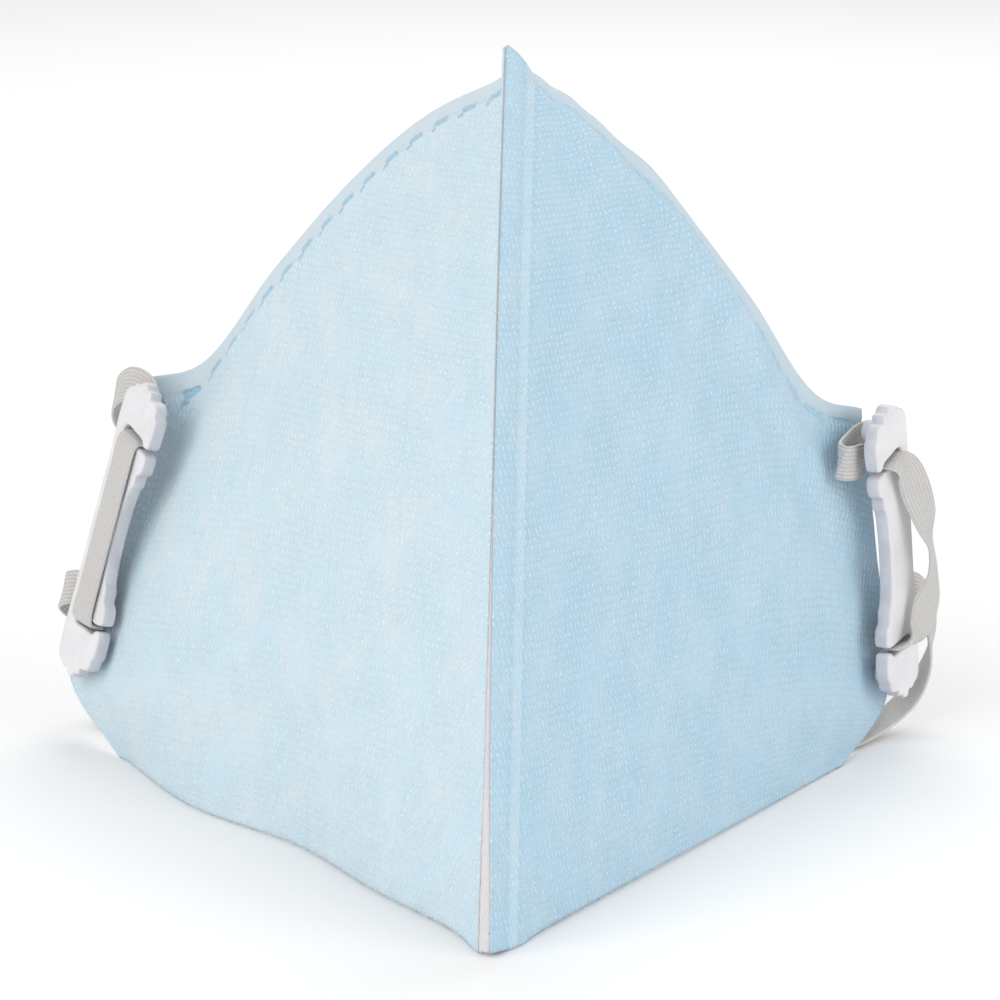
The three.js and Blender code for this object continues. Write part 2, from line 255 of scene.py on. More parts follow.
class Wires:
    """Short ways to add and join the nodes of one tree."""

    def __init__(self, tree: bpy.types.NodeTree) -> None:
        """Keeps the tree."""
        self.tree = tree

    def node(self, kind: str, inputs: dict | None = None, **settings: object) -> bpy.types.Node:
        """Adds a node.

        Args:
            kind: its type, such as ShaderNodeMath.
            inputs: socket name or number to a value or to another node's output.
            settings: the node's own properties.

        Returns:
            The node.
        """
        made = self.tree.nodes.new(kind)
        for key, value in settings.items():
            setattr(made, key, value)
        self.join(made, inputs or {})
        return made

    def math(self, operation: str, *values: object) -> bpy.types.NodeSocket:
        """Adds one sum and gives its result."""
        made = self.node("ShaderNodeMath", dict(enumerate(values)), operation=operation)
        return made.outputs[0]

    def ramp(self, value: object, low: float, high: float) -> bpy.types.NodeSocket:
        """A smooth step from 0 at low to 1 at high."""
        made = self.node(
            "ShaderNodeMapRange", {"Value": value, "From Min": low, "From Max": high},
            interpolation_type="SMOOTHSTEP",
        )
        return made.outputs["Result"]

    def drop(self, value: object, low: float, high: float) -> bpy.types.NodeSocket:
        """A smooth step from 1 at low to 0 at high."""
        return self.math("SUBTRACT", 1.0, self.ramp(value, low, high))

    def apart(self, value: object, middle: float = 0.5) -> bpy.types.NodeSocket:
        """How far a value is from a middle one, either way."""
        return self.math("ABSOLUTE", self.math("SUBTRACT", value, middle))

    def cloth_map(self) -> bpy.types.NodeSocket:
        """The cloth's own coordinates, in millimetres."""
        return self.node("ShaderNodeUVMap", uv_map="cloth").outputs["UV"]

    def attribute(self, name: str) -> bpy.types.NodeSocket:
        """A number that the mesh keeps for each vertex."""
        return self.node("ShaderNodeAttribute", attribute_name=name).outputs["Fac"]

    def fibres(
        self, group: bpy.types.ShaderNodeTree, place: object, fineness: float, drawn: float = 1.0
    ) -> bpy.types.Node:
        """Adds the group of fibres and cloudy patches.

        Args:
            group: the shared group.
            place: the cloth's own coordinates.
            fineness: how fine the fibres are.
            drawn: how far the patches are drawn out upwards.

        Returns:
            The node, which gives Fibre and Cloud.
        """
        made = self.node("ShaderNodeGroup", node_tree=group)
        self.join(made, {"Place": place, "Fineness": fineness, "Drawn": drawn})
        return made

    def join(self, made: bpy.types.Node, inputs: dict) -> None:
        """Gives a node's sockets their values or links.

        Args:
            made: the node.
            inputs: socket name or number to a value or to another node's output.
        """
        for key, value in inputs.items():
            if isinstance(value, bpy.types.NodeSocket):
                self.tree.links.new(value, made.inputs[key])
            else:
                made.inputs[key].default_value = value

    def bump(self, shader: bpy.types.Node, height: object, strength: float, distance: float) -> None:
        """Raises the surface by a height before it is shaded."""
        made = self.node("ShaderNodeBump", {"Height": height, "Strength": strength, "Distance": distance})
        self.tree.links.new(made.outputs["Normal"], shader.inputs["Normal"])

    def blotches(self, place: object, scale: float, detail: float = 2.0) -> bpy.types.NodeSocket:
        """Noise of that scale at a place, from 0 to 1."""
        made = self.node("ShaderNodeTexNoise", {"Vector": place, "Scale": scale, "Detail": detail})
        return made.outputs["Fac"]

    def mix(self, share: object, a: object, b: object) -> bpy.types.NodeSocket:
        """Mixes two colours."""
        made = self.node("ShaderNodeMix", {0: share, 6: a, 7: b}, data_type="RGBA")
        return made.outputs[2]


def new_group(name: str, takes: dict[str, str], gives: dict[str, str]) -> bpy.types.ShaderNodeTree:
    """Starts a shader node group.

    Args:
        name: the group's name.
        takes: its inputs, name to socket type.
        gives: its outputs, name to socket type.

    Returns:
        The group, with its two ends in place.
    """
    group = bpy.data.node_groups.new(name, "ShaderNodeTree")
    for words, direction in ((takes, "INPUT"), (gives, "OUTPUT")):
        for word, kind in words.items():
            group.interface.new_socket(word, in_out=direction, socket_type=kind)
    group.nodes.new("NodeGroupInput")
    group.nodes.new("NodeGroupOutput")
    return group


def ends(group: bpy.types.ShaderNodeTree) -> tuple[bpy.types.Node, bpy.types.Node]:
    """Gives a group's input node and output node."""
    return group.nodes["Group Input"], group.nodes["Group Output"]


FLOAT, COLOR, VECTOR = "NodeSocketFloat", "NodeSocketColor", "NodeSocketVector"


def emboss_group() -> bpy.types.ShaderNodeTree:
    """Builds the staggered rows of short slanting ridges that a calender leaves on nonwoven.

    Returns:
        The group. It takes the cloth's own coordinates in millimetres and gives a mask of the ridges.
    """
    takes = {"Place": VECTOR, "Across": FLOAT, "Up": FLOAT, "Slant": FLOAT}
    group = new_group("embossed_rows", takes, {"Ridge": FLOAT})
    start, end = ends(group)
    w = Wires(group)
    wobble = w.node("ShaderNodeTexNoise", {"Vector": start.outputs["Place"], "Scale": 0.3, "Detail": 2.0})
    shaken = w.node(
        "ShaderNodeVectorMath", {0: wobble.outputs["Color"], 1: (1.6, 1.6, 0.0)}, operation="MULTIPLY"
    )
    place = w.node("ShaderNodeVectorMath", {0: start.outputs["Place"], 1: shaken.outputs[0]}, operation="ADD")
    split = w.node("ShaderNodeSeparateXYZ", {0: place.outputs[0]})
    up = w.math("DIVIDE", split.outputs["Y"], start.outputs["Up"])
    shift = w.math("FRACT", w.math("MULTIPLY", w.math("FLOOR", up), 0.5))
    high = w.math("SUBTRACT", w.math("FRACT", up), 0.5)
    across = w.math("ADD", w.math("DIVIDE", split.outputs["X"], start.outputs["Across"]), shift)
    leaning = w.math("MULTIPLY_ADD", high, start.outputs["Slant"], across)
    narrow = w.drop(w.apart(w.math("FRACT", leaning)), 0.06, 0.36)
    short = w.drop(w.math("ABSOLUTE", high), 0.2, 0.5)
    group.links.new(w.math("MULTIPLY", narrow, short), end.inputs["Ridge"])
    return group


def fibre_group() -> bpy.types.ShaderNodeTree:
    """Builds fine fibres lying every way, and the cloudy patches where they lie thicker.

    Returns:
        The group. It takes a place, how fine the fibres are and how far the patches are drawn out upwards,
        and gives the fibres and the patches.
    """
    takes = {"Place": VECTOR, "Fineness": FLOAT, "Drawn": FLOAT}
    group = new_group("fibres", takes, {"Fibre": FLOAT, "Cloud": FLOAT})
    start, end = ends(group)
    w = Wires(group)
    drawn = w.node("ShaderNodeTexNoise", {
        "Vector": start.outputs["Place"], "Scale": start.outputs["Fineness"],
        "Detail": 4.0, "Roughness": 0.7, "Distortion": 1.6,
    })
    crossed = w.node("ShaderNodeMapping", {"Vector": start.outputs["Place"], "Scale": (1.0, 0.35, 1.0)})
    lengthways = w.node("ShaderNodeTexNoise", {
        "Vector": crossed.outputs[0], "Scale": start.outputs["Fineness"],
        "Detail": 2.0, "Distortion": 0.8,
    })
    lesser = w.math("MULTIPLY", lengthways.outputs["Fac"], 0.4)
    fibre = w.math("MULTIPLY_ADD", drawn.outputs["Fac"], 0.6, lesser)
    split = w.node("ShaderNodeSeparateXYZ", {0: start.outputs["Place"]})
    squeezed = w.math("DIVIDE", split.outputs["Y"], start.outputs["Drawn"])
    patches = w.node("ShaderNodeCombineXYZ", {0: split.outputs["X"], 1: squeezed})
    cloud = w.ramp(w.blotches(patches.outputs[0], 0.11, 3.0), 0.3, 0.72)
    group.links.new(fibre, end.inputs["Fibre"])
    group.links.new(cloud, end.inputs["Cloud"])
    return group


@dataclass(frozen=True)
class Finish:
    """What every finish has: a name, a roughness and a sheen that are the same all over."""

    name: str
    roughness: float
    sheen: float = 0.0

    def start(self) -> tuple[bpy.types.Material, Wires, bpy.types.Node]:
        """Makes the material with its shader.

        Returns:
            The material, a way to add nodes and the Principled BSDF.
        """
        made = bpy.data.materials.new(self.name)
        made.use_nodes = True
        shader = made.node_tree.nodes["Principled BSDF"]
        shader.inputs["Roughness"].default_value = self.roughness
        shader.inputs["Sheen Weight"].default_value = self.sheen
        shader.inputs["Sheen Roughness"].default_value = 0.6
        return made, Wires(made.node_tree), shader


@dataclass(frozen=True)
class ClothFinish(Finish):
    """Pale blue nonwoven: embossed rows, cloudy colour and a welded line along the top."""

    groups: dict[str, bpy.types.ShaderNodeTree] = field(default_factory=dict)
    thin: tuple = (0.54, 0.72, 0.82, 1)
    thick: tuple = (0.62, 0.74, 0.81, 1)
    ridge: tuple = (0.80, 0.86, 0.89, 1)
    # The dashes' blue; it also paints shade into the grooves beside the fold.
    pressed: tuple = (0.30, 0.57, 0.76, 1)
    welded: tuple = (0.60, 0.68, 0.73, 1)
    # Painted highlight along the fold at the foot of the fin.
    folded: tuple = (0.80, 0.90, 0.93, 1)
    across: float = 1.1
    up: float = 1.5
    slant: float = 0.7
    drawn: float = 1.6
    weld_depth: float = 4.4
    dash_pitch: float = 6.3
    dash_long: float = 0.54
    dash_wide: float = 0.95
    dash_depth: float = 1.0

    def build(self) -> bpy.types.Material:
        """Makes the material.

        Returns:
            The material, which reads the map called cloth and the attributes top_run and top_depth.
        """
        made, w, shader = self.start()
        place = w.cloth_map()
        rows = w.node("ShaderNodeGroup", node_tree=self.groups["emboss"])
        w.join(rows, {"Place": place, "Across": self.across, "Up": self.up, "Slant": self.slant})
        fibres = w.fibres(self.groups["fibre"], place, 1.5, self.drawn)
        dash, band = self.weld(w, place)
        clear = w.ramp(w.blotches(place, 0.09, 2.0), 0.25, 0.6)
        ridge = w.math("MULTIPLY", rows.outputs["Ridge"], w.math("SUBTRACT", 1.0, band))
        ridge = w.math("MULTIPLY", ridge, w.math("MULTIPLY_ADD", clear, 0.6, 0.4))
        base = w.mix(fibres.outputs["Cloud"], self.thin, self.thick)
        speck = w.ramp(fibres.outputs["Fibre"], 0.5, 0.7)
        base = w.mix(w.math("MULTIPLY", speck, 0.4), base, self.ridge)
        base = w.mix(w.math("MULTIPLY", ridge, 0.62), base, self.ridge)
        base = w.mix(w.math("MULTIPLY", band, 0.75), base, self.welded)
        base = w.mix(w.math("MULTIPLY", dash, 0.8 * self.dash_depth), base, self.pressed)
        crease, beside = self.crease(w)
        # Painted shade in the grooves beside the fold.
        base = w.mix(w.math("MULTIPLY", beside, 0.10), base, self.pressed)
        # Painted highlight on the fold line.
        base = w.mix(w.math("MULTIPLY", crease, 0.22), base, self.folded)
        w.tree.links.new(base, shader.inputs["Base Color"])
        height = w.math("MULTIPLY_ADD", ridge, 1.0, w.math("MULTIPLY", fibres.outputs["Fibre"], 0.8))
        height = w.math("MULTIPLY_ADD", dash, -2.4 * self.dash_depth, height)
        height = w.math("MULTIPLY_ADD", beside, -0.6, height)
        w.bump(shader, height, 0.7, 0.3 * MM)
        return made

    def crease(self, w: Wires) -> tuple[bpy.types.NodeSocket, bpy.types.NodeSocket]:
        """Adds the fold at the foot of the fin, drawn as painted highlight and painted shade.

        Args:
            w: the material's wires.

        Returns:
            Masks of the pale fold line, painted as a highlight, and of the shallow grooves on each side of
            it, dented and darkened with painted shade.
        """
        off = w.math("ABSOLUTE", w.attribute("from_crease"))
        return w.drop(off, 0.1, 0.7), w.drop(w.apart(off, 0.9), 0.1, 0.7)

    def weld(
        self, w: Wires, place: bpy.types.NodeSocket
    ) -> tuple[bpy.types.NodeSocket, bpy.types.NodeSocket]:
        """Adds the weld along the top edge.

        Args:
            w: the material's wires.
            place: the cloth's own coordinates.

        Returns:
            Masks of the pressed dashes, each with a hook at one end, and of the flat band outside them.
        """
        run, depth = w.attribute("top_run"), w.attribute("top_depth")
        shaken = w.math("MULTIPLY_ADD", w.blotches(place, 0.8), 1.6, -0.8)
        turn = w.math("FRACT", w.math("DIVIDE", w.math("ADD", run, shaken), self.dash_pitch))
        off = w.math("SUBTRACT", w.math("ADD", depth, w.math("MULTIPLY", shaken, 0.6)), self.weld_depth)
        half = self.dash_long / 2
        wide = w.drop(w.math("ABSOLUTE", off), self.dash_wide * 0.35, self.dash_wide * 1.25)
        body = w.math("MULTIPLY", wide, w.drop(w.apart(turn), half - 0.12, half + 0.04))
        tail = w.drop(w.apart(turn, 0.5 + half - 0.05), 0.03, 0.13)
        hook = w.math("MULTIPLY", tail, w.drop(w.apart(off, self.dash_wide * 1.5), 0.4, 0.9))
        edge = w.math("ADD", depth, shaken)
        band = w.drop(edge, self.weld_depth - 0.9, self.weld_depth + 0.4)
        return w.math("MAXIMUM", body, hook), band


@dataclass(frozen=True)
class LiningFinish(Finish):
    """The white inner layer."""

    groups: dict[str, bpy.types.ShaderNodeTree] = field(default_factory=dict)
    thin: tuple = (0.80, 0.83, 0.84, 1)
    thick: tuple = (0.89, 0.90, 0.90, 1)

    def build(self) -> bpy.types.Material:
        """Makes the material, which reads the map called cloth."""
        made, w, shader = self.start()
        fibres = w.fibres(self.groups["fibre"], w.cloth_map(), 1.2)
        base = w.mix(fibres.outputs["Cloud"], self.thin, self.thick)
        w.tree.links.new(base, shader.inputs["Base Color"])
        w.bump(shader, fibres.outputs["Fibre"], 0.5, 0.3 * MM)
        return made


@dataclass(frozen=True)
class WaddingFinish(Finish):
    """White fibre wadding at the cut edge of the seam, with a few dark specks."""

    groups: dict[str, bpy.types.ShaderNodeTree] = field(default_factory=dict)
    shaded: tuple = (0.60, 0.58, 0.60, 1)
    lit: tuple = (0.86, 0.82, 0.83, 1)
    specked: tuple = (0.24, 0.25, 0.27, 1)

    def build(self) -> bpy.types.Material:
        """Makes the material, which reads the map called cloth."""
        made, w, shader = self.start()
        place = w.cloth_map()
        fibres = w.fibres(self.groups["fibre"], place, 1.8)
        base = w.mix(fibres.outputs["Fibre"], self.shaded, self.lit)
        speck = w.ramp(w.blotches(place, 1.1), 0.66, 0.74)
        base = w.mix(w.math("MULTIPLY", speck, 0.7), base, self.specked)
        w.tree.links.new(base, shader.inputs["Base Color"])
        w.bump(shader, fibres.outputs["Fibre"], 0.7, 0.3 * MM)
        return made


@dataclass(frozen=True)
class PlasticFinish(Finish):
    """White moulded plastic with a faint flow pattern, and its sides greyed with painted shade."""

    # Painted shade on the side walls.
    side: tuple = (0.60, 0.58, 0.62, 1)
    dull: tuple = (0.73, 0.72, 0.74, 1)
    bright: tuple = (0.79, 0.785, 0.80, 1)

    def build(self) -> bpy.types.Material:
        """Makes the material, which reads Object coordinates and the attribute rim."""
        made, w, shader = self.start()
        place = w.node("ShaderNodeTexCoord").outputs["Object"]
        base = w.mix(w.ramp(w.blotches(place, 160.0), 0.3, 0.7), self.dull, self.bright)
        patchy = w.math("MULTIPLY_ADD", w.ramp(w.blotches(place, 260.0), 0.35, 0.65), 0.5, 0.5)
        # Painted shade down the side walls, patchy along them.
        base = w.mix(w.math("MULTIPLY", w.attribute("rim"), patchy), base, self.side)
        w.tree.links.new(base, shader.inputs["Base Color"])
        gloss = w.math("MULTIPLY_ADD", w.blotches(place, 420.0, 3.0), 0.14, self.roughness - 0.07)
        w.tree.links.new(gloss, shader.inputs["Roughness"])
        w.bump(shader, w.blotches(place, 900.0, 3.0), 0.25, 0.1 * MM)
        return made


@dataclass(frozen=True)
class ElasticFinish(Finish):
    """Grey knitted elastic: fine ribs along the band, each made of small slanting stitches, with painted
    shade in the grooves and the gaps between stitches.
    """

    light: tuple = (0.69, 0.67, 0.65, 1)
    middling: tuple = (0.60, 0.58, 0.56, 1)
    # Painted shade for the grooves and the gaps between stitches.
    dark: tuple = (0.40, 0.38, 0.37, 1)
    rib: float = 0.72
    stitch: float = 0.62

    def build(self) -> bpy.types.Material:
        """Makes the material, which reads the map called cloth."""
        made, w, shader = self.start()
        place = w.cloth_map()
        split = w.node("ShaderNodeSeparateXYZ", {0: place})
        across = w.math("DIVIDE", split.outputs["X"], self.rib)
        turn = w.apart(w.math("FRACT", across))
        groove = w.ramp(turn, 0.26, 0.5)
        along = w.math("DIVIDE", split.outputs["Y"], self.stitch)
        slanted = w.math("ADD", along, w.math("MULTIPLY", turn, 1.3))
        gap = w.ramp(w.apart(w.math("FRACT", slanted)), 0.3, 0.5)
        hollow = w.math("MAXIMUM", groove, w.math("MULTIPLY", gap, 0.6))
        base = w.mix(w.blotches(place, 1.4, 3.0), self.light, self.middling)
        # Painted shade in the hollows; the bump below dents them as well.
        base = w.mix(w.math("MULTIPLY", hollow, 0.55), base, self.dark)
        w.tree.links.new(base, shader.inputs["Base Color"])
        w.bump(shader, w.math("SUBTRACT", 1.0, hollow), 0.6, 0.2 * MM)
        return made


@dataclass
class Wardrobe:
    """All the finishes, each built once."""

    made: dict[str, bpy.types.Material] = field(default_factory=dict)

    def build(self) -> None:
        """Builds the shared groups and then each finish."""
        groups = {"emboss": emboss_group(), "fibre": fibre_group()}
        finishes = [
            ClothFinish("cloth_left", 0.82, 0.12, groups),
            # The right half's copy has darker thin, thick and ridge colours: painted shade, as the right half
            # lies away from the key lamp.
            ClothFinish(
                "cloth_right", 0.82, 0.12, groups, thin=(0.40, 0.62, 0.77, 1), thick=(0.48, 0.66, 0.79, 1),
                ridge=(0.70, 0.82, 0.89, 1), weld_depth=2.9, dash_wide=0.5, dash_long=0.7,
                dash_depth=0.35, slant=0.6,
            ),
            LiningFinish("white_lining", 0.9, 0.1, groups),
            WaddingFinish("seam_wadding", 0.9, 0.1, groups),
            PlasticFinish("white_plastic", 0.42),
            ElasticFinish("grey_elastic", 0.8, 0.15),
        ]
        for finish in finishes:
            self.made[finish.name] = finish.build()
            LOG.info("finish %s", finish.name)

    def dress(self, piece: bpy.types.Object, slot: Slot, *names: str) -> None:
        """Puts finishes on a piece.

        Args:
            piece: the object.
            slot: the record's slot that it belongs to; not used.
            names: the finishes, in the order of its faces' material numbers.
        """
        for name in names:
            piece.data.materials.append(self.made[name])


# ---------------------------------------------------------------- the mask's cloth


@dataclass(frozen=True)
class SeamLine:
    """The arc that the centre seam follows, and the fin that stands on it and leans to one side."""

    chord: float = 160 * MM
    slope: float = math.radians(52.7)
    turn: float = math.radians(52)
    fin: float = 5.6 * MM
    fin_base: float = 1 * MM
    fin_top_share: float = 0.007
    lean: float = math.radians(35)
    core: float = 0.8 * MM
    gap: float = 0.3 * MM
    flange: float = 0.8 * MM

    @property
    def root_out(self) -> float:
        """How far each panel's outer face is from the seam's middle plane."""
        return self.core / 2 + self.gap + self.flange

    def angle(self, v: np.ndarray) -> np.ndarray:
        """The seam's slope at v, which goes from 0 at its foot to 1 at its top."""
        return self.slope + self.turn * (0.5 - v)

    def point(self, v: np.ndarray) -> np.ndarray:
        """Points of the seam, in the mask's frame."""
        radius = self.chord / (2 * math.sin(self.turn / 2))
        start, angle = self.angle(0.0), self.angle(v)
        y = radius * (math.sin(start) - np.sin(angle))
        z = radius * (np.cos(angle) - math.cos(start))
        return np.stack([np.zeros_like(y), y, z], axis=-1)

    def along(self, v: np.ndarray) -> np.ndarray:
        """The seam's own direction."""
        angle = self.angle(v)
        return np.stack([np.zeros_like(angle), np.cos(angle), np.sin(angle)], axis=-1)

    def forward(self, v: np.ndarray) -> np.ndarray:
        """Straight out from the seam, square to it, in its middle plane."""
        angle = self.angle(v)
        return np.stack([np.zeros_like(angle), -np.sin(angle), np.cos(angle)], axis=-1)

    def fin_way(self, v: np.ndarray) -> np.ndarray:
        """The way the fin stands."""
        return self.forward(v) * math.cos(self.lean) + np.array([-math.sin(self.lean), 0, 0])

    def fin_side(self, v: np.ndarray) -> np.ndarray:
        """Square to the fin, towards the right half."""
        return unit(np.cross(self.along(v), self.fin_way(v)))

    def fin_point(self, height: float, v: np.ndarray, offset: np.ndarray) -> np.ndarray:
        """Points of the fin.

        Args:
            height: how far up the fin, in metres.
            v: how far along the seam.
            offset: how far from the fin's middle plane.

        Returns:
            One point for each v.
        """
        share = (height - self.fin_base) / (self.fin - self.fin_base)
        foot = self.point(v * (1 + self.fin_top_share * share))
        return foot + self.fin_way(v) * height + self.fin_side(v) * np.asarray(offset)[..., None]

    def opening(self, v: np.ndarray) -> np.ndarray:
        """How far the layers gape at the fin's edge, which they do near the chin."""
        return (0.75 * (1 - rise(v, 0.0, 0.2)) + 0.4 * (1 - rise(v, 0.12, 0.52))) * MM


@dataclass(frozen=True)
class PanelCut:
    """Where one half's outline turns, in millimetres from the seam's foot: out, back and up."""

    side: Side
    corner: tuple[float, float, float]
    tab_foot: tuple[float, float, float]
    tab_top: tuple[float, float, float]
    knee: tuple[float, float, float]
    hem_swell: float
    top_rise: float
    belly: float = 1.5

    def place(self, point: tuple[float, float, float]) -> Vector:
        """One of the outline's points, in metres."""
        return Vector((self.side.value * point[0], point[1], point[2])) * MM


LEFT_CUT = PanelCut(Side.LEFT, (71, 95, 0), (83.5, 118.5, 11.5), (69.5, 122.5, 65.5), (59.5, 124, 68), 4, 8)
RIGHT_CUT = PanelCut(Side.RIGHT, (59.5, 99, 0), (69.5, 124.5, 8), (63, 122.5, 62), (54.5, 117, 65.5), 0, 6)


@dataclass
class Panel:
    """One half of the mask: a flange of the fin, and the face that runs from it back to the tab."""

    cut: PanelCut
    flat: tuple[float, float]
    area: float
    seam: SeamLine = field(default_factory=SeamLine)
    wall: float = 1.3 * MM
    flange_columns: int = 9
    face_columns: int = 150
    rows: int = 190
    weld_depth: float = 4.4 * MM
    roll: float = 2.2 * MM
    closing: float = 0.95 * MM
    pout: float = 0.2 * MM
    flange_wall: float = 0.45 * MM
    chin_fill: float = 0.0
    chin_reach: float = 11 * MM
    puff: float = 0.25 * MM
    lowest: float = 0.25 * MM
    clearance: float = 0.02 * MM

    def edges(self) -> tuple[Edge, Edge, Edge]:
        """Makes the panel's hem, top and back edge.

        Returns:
            The three curves, in the mask's frame.
        """
        cut, sign = self.cut, self.cut.side.value
        root = self.seam.point(np.array([0.0, 1.0])) + np.array([sign * self.seam.root_out, 0, 0])
        start, corner = Vector(root[0]), cut.place(cut.corner)
        run = corner - start
        outward = Vector((run.y, -run.x, 0)).normalized() * sign
        quarters = (0, 0.25, 0.5, 0.75, 1)
        hem = [
            start + run * t
            + outward * (cut.hem_swell * MM * math.sin(2 * math.pi * t) ** 2 * (0.5 if t < 0.5 else 1))
            for t in quarters
        ]
        peak, knee = Vector(root[1]), cut.place(cut.knee)
        top = [
            peak.lerp(knee, t) + Vector((0, 0, cut.top_rise * MM * math.sin(math.pi * t**0.85)))
            for t in quarters
        ]
        top.append(cut.place(cut.tab_top))
        foot, head = cut.place(cut.tab_foot), cut.place(cut.tab_top)
        back = [corner, foot, foot.lerp(head, 0.5), head]
        return Edge(hem), Edge(top), Edge(back)

    def face(self, t: np.ndarray, v: np.ndarray) -> np.ndarray:
        """Points of the outer face between the panel's four edges.

        Args:
            t: shares of the way from the seam to the back, one for each column.
            v: shares of the way up, one for each row.

        Returns:
            Columns by rows by three.
        """
        hem, top, back = self.edges()
        sign = self.cut.side.value
        root = self.seam.point(v) + np.array([sign * self.seam.root_out, 0, 0])
        tt, vv = t[:, None, None], v[None, :, None]
        low, high, far = hem.at(t)[:, None], top.at(t)[:, None], back.at(v)[None]
        near = root[None]
        place = near * (1 - tt) + far * tt + low * (1 - vv) + high * vv
        place = place - (near[:, :1] * (1 - tt) * (1 - vv) + low[-1:] * tt * (1 - vv))
        place = place - (near[:, -1:] * (1 - tt) * vv + high[-1:] * tt * vv)
        swell = self.cut.belly * MM * np.sin(math.pi * tt) * np.sin(math.pi * vv)
        return place + swell * np.array([sign, -1.0, 0.0])

    def flange(self, v: np.ndarray) -> np.ndarray:
        """Points of the flange's outer face, from the fin's edge down to its base."""
        sign = self.cut.side.value
        columns = []
        for height in np.linspace(self.seam.fin, self.seam.fin_base, self.flange_columns):
            share = (height - self.seam.fin_base) / (self.seam.fin - self.seam.fin_base)
            spread = self.seam.opening(v) * share**2 - self.closing * share
            puff = self.puff * math.sin(math.pi * share)
            columns.append(self.seam.fin_point(height, v, sign * (self.seam.root_out + spread + puff)))
        return np.stack(columns)

    def relief(self, t: np.ndarray, v: np.ndarray, depths: dict[str, np.ndarray]) -> np.ndarray:
        """How far the cloth stands out from its plain face, in metres.

        Args:
            t: shares of the way back, one for each column.
            v: shares of the way up, one for each row.
            depths: distances from the top edge and from the hem.

        Returns:
            Columns by rows.
        """
        tt, vv = np.meshgrid(t, v, indexing="ij")
        soft = np.array([
            [noise.noise(Vector((a * 3.2, b * 3.6, 7.0 + self.cut.side.value))) for b in v] for a in t
        ])
        inside = rise(tt, 0.0, 0.08) * (1 - rise(tt, 0.93, 1.0)) * rise(vv, 0.0, 0.05)
        out = 0.55 * MM * soft * inside
        top = depths["top"]
        out += 0.42 * MM * rise(top, self.weld_depth - 0.4 * MM, self.weld_depth + 2.4 * MM)
        out -= 0.30 * MM * np.exp(-((top - self.weld_depth) / (0.7 * MM)) ** 2)
        if self.cut.side is Side.RIGHT:
            fan = np.arctan2(tt + 0.02, 1.12 - vv)
            reach = rise(vv, 0.25, 0.75) * inside
            out += 0.38 * MM * np.sin(fan * 26 + 1.3) * reach * rise(tt, 0.05, 0.3)
            out += 0.3 * MM * np.sin(fan * 11) * reach
        dent = (tt - 0.97) ** 2 / 0.05**2 + (vv - 0.93) ** 2 / 0.05**2
        out -= 0.8 * MM * np.exp(-dent)
        return out

    def rolled(self, hem: np.ndarray) -> np.ndarray:
        """How far the hem turns inwards at that distance from its edge."""
        short = np.clip(self.roll - hem, 0, self.roll)
        return self.roll - np.sqrt(np.maximum(self.roll**2 - short**2, 0))

    def build(self, wardrobe: Wardrobe) -> bpy.types.Object:
        """Makes the panel and dresses it.

        Args:
            wardrobe: the finishes.

        Returns:
            The panel.
        """
        sign = self.cut.side.value
        v = np.linspace(0, 1, self.rows)
        t = np.concatenate([[0, 0.004, 0.01], np.linspace(0.018, 1, self.face_columns)])
        face = self.face(t, v)
        across, up = np.gradient(face, axis=0), np.gradient(face, axis=1)
        outward = unit(np.cross(across, up)) * sign
        hem, top, _ = self.edges()
        shape = face.shape[:2]
        flat_points = face.reshape(-1, 3)
        top_depth, top_run = (a.reshape(shape) for a in top.nearest(flat_points))
        hem_depth = hem.nearest(flat_points)[0].reshape(shape)
        stand = self.relief(t, v, {"top": top_depth}) - self.rolled(hem_depth) * rise(t, 0.0, 0.1)[:, None]
        from_crease = np.linalg.norm(face - face[:1], axis=-1)
        stand = stand + self.pout * np.exp(-((from_crease - 2.4 * MM) / (1.5 * MM)) ** 2)
        face = face + outward * stand[..., None]
        flange = self.flange(v)
        filled = self.chin_fill * (1 - rise(v, 0.0, 0.17))
        push = self.seam.fin_way(v) * np.array([1, 1, 0]) * filled[:, None]
        face = face + push[None] * np.exp(-((from_crease / self.chin_reach) ** 1.3))[..., None]
        share = np.linspace(0, 1, self.flange_columns)[:, None, None]
        flange = flange + push[None] * share**1.2
        up_fin = -np.linalg.norm(flange - flange[-1:], axis=-1) - 0.4 * MM
        places = np.concatenate([flange, face])
        places[..., 2] = np.maximum(places[..., 2], self.lowest)
        chart = self.chart(places)
        flange_depth = np.full((self.flange_columns, self.rows), 30 * MM)
        name = f"{self.cut.side.word}_cloth"
        made = grid_mesh(name, places + np.array(FOOT), chart, turned=self.cut.side is Side.LEFT)
        store(made.data, "top_depth", np.concatenate([flange_depth, top_depth]).ravel() / MM)
        store(made.data, "from_crease", np.concatenate([up_fin, from_crease]).ravel() / MM)
        store(made.data, "top_run", np.concatenate([flange_depth, top_run]).ravel() / MM)
        self.thicken(made, np.concatenate([flange_depth, top_depth]), np.concatenate([up_fin, from_crease]))
        wardrobe.dress(made, Slot.CLOTH, f"cloth_{self.cut.side.word}", "white_lining")
        self.settle(made)
        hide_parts(f"{self.cut.side.word}_panel")
        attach(made, BODY)
        return made

    def chart(self, places: np.ndarray) -> np.ndarray:
        """Lays the panel out flat.

        Args:
            places: the panel's points, columns by rows by three.

        Returns:
            Coordinates across and up in millimetres, one pair for each point.
        """
        steps = np.linalg.norm(np.diff(places, axis=0), axis=-1)
        across = np.concatenate([np.zeros((1, places.shape[1])), np.cumsum(steps, axis=0)]) / MM
        rungs = np.linalg.norm(np.diff(places, axis=1), axis=-1)
        up = np.concatenate([np.zeros((places.shape[0], 1)), np.cumsum(rungs, axis=1)], axis=1) / MM
        return np.stack([across, up], axis=-1)

